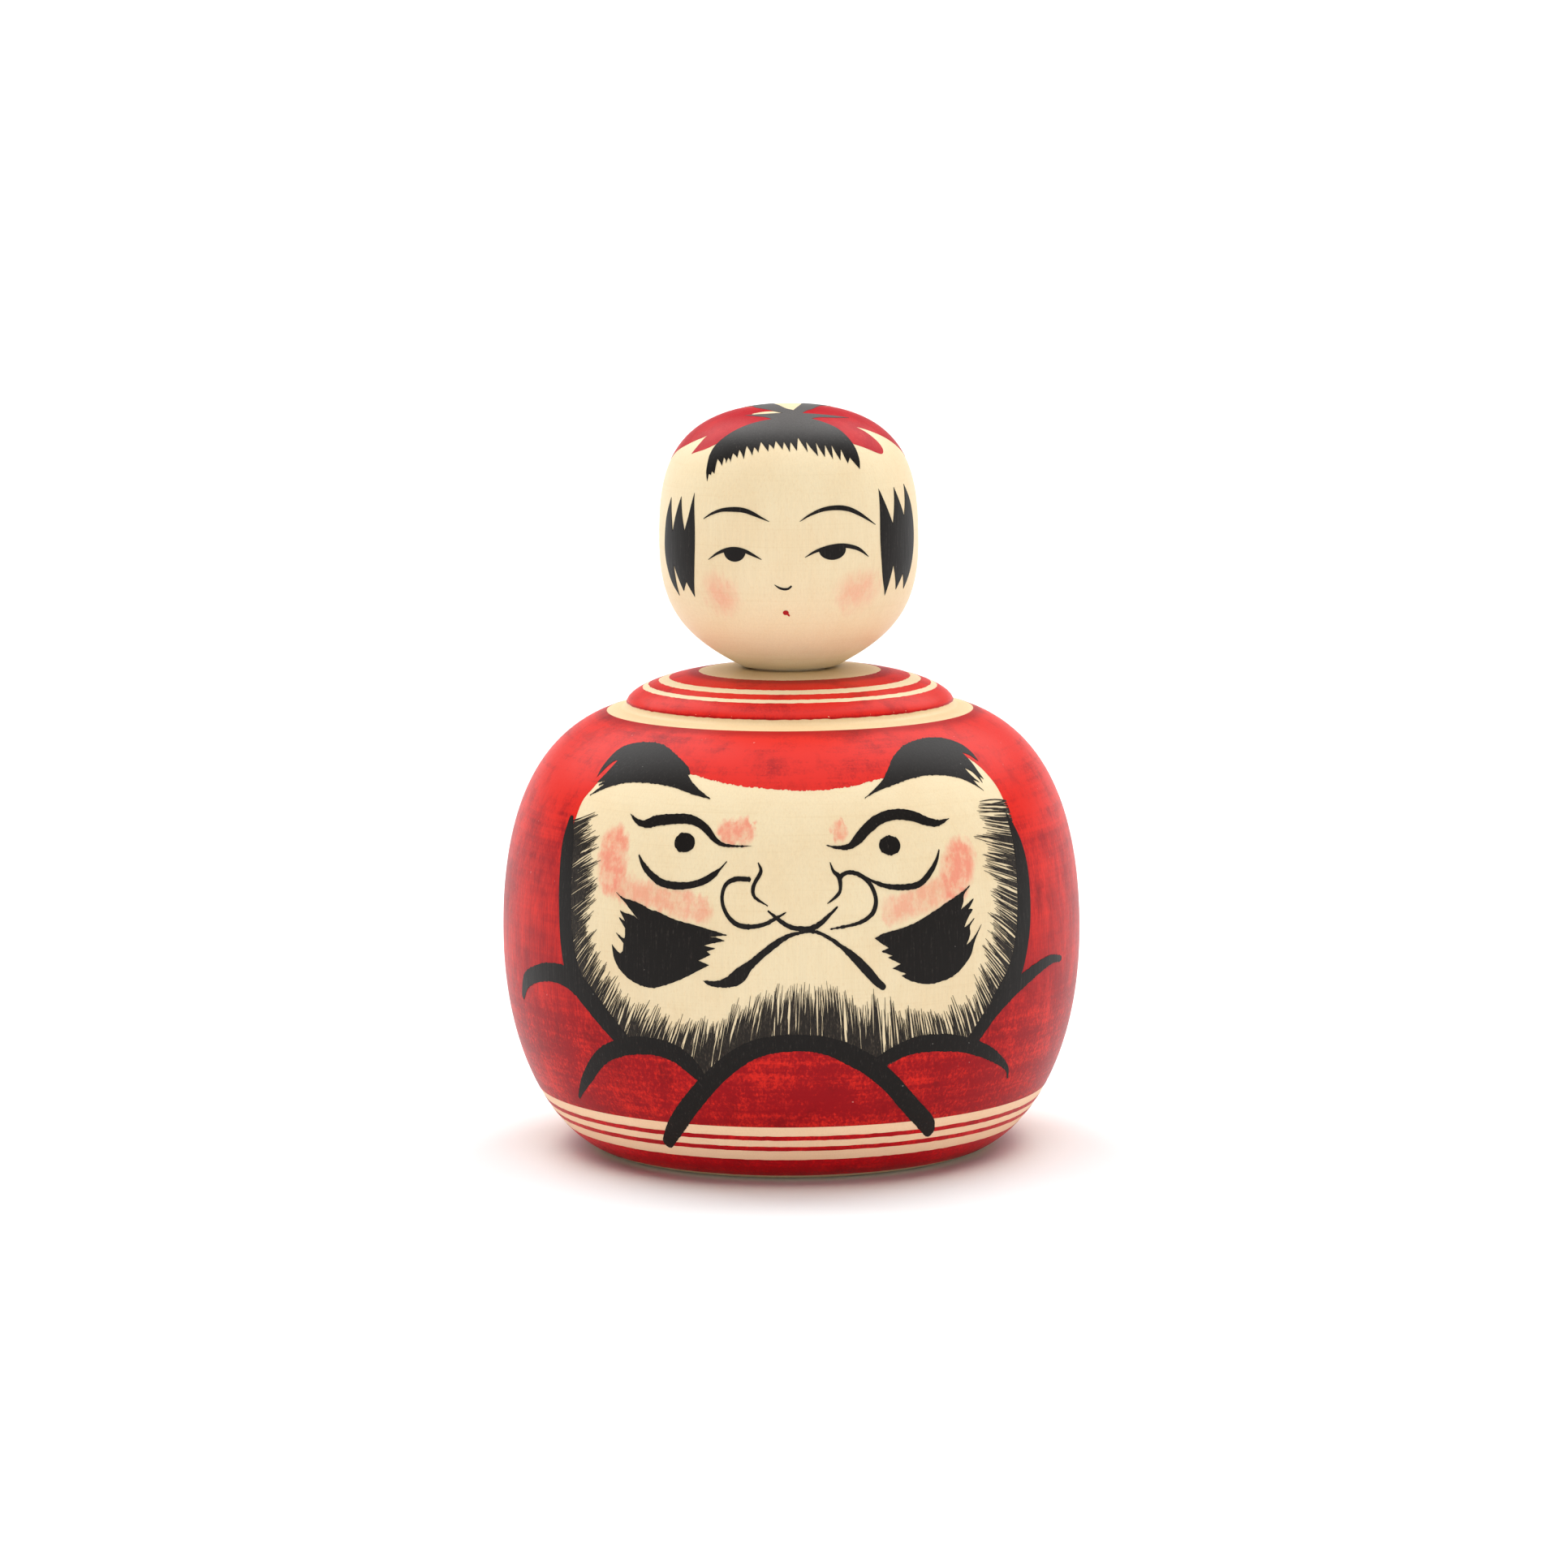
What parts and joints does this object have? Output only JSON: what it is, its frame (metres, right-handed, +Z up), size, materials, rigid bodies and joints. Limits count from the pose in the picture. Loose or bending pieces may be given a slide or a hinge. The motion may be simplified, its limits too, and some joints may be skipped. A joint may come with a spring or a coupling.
{
  "type": "kokeshi doll",
  "caption": "Squat turned wooden doll: a round painted body with a stepped shoulder, and an egg-shaped head on a neck that turns in it.",
  "frame": {"origin": "centre of the flat foot, on the surface that the doll stands on", "axes": "+Z up along the turning axis; the painted front faces -Y; +X to the right as seen from the front"},
  "size_m": [0.075, 0.075, 0.0964],
  "materials": {
    "painted_body": "red dye on pale wood, waxed to a soft gloss",
    "painted_head": "bare pale wood with brush painting, waxed to a soft gloss"
  },
  "bodies": {
    "doll_body": {"body": "painted_body"},
    "doll_head": {"head": "painted_head"}
  },
  "joints": [
    {"name": "head_turn", "type": "hinge", "parent": "doll_body", "child": "doll_head", "pos_m": [0, 0, 0.06265], "axis": [0, 0, 1], "continuous": true}
  ]
}
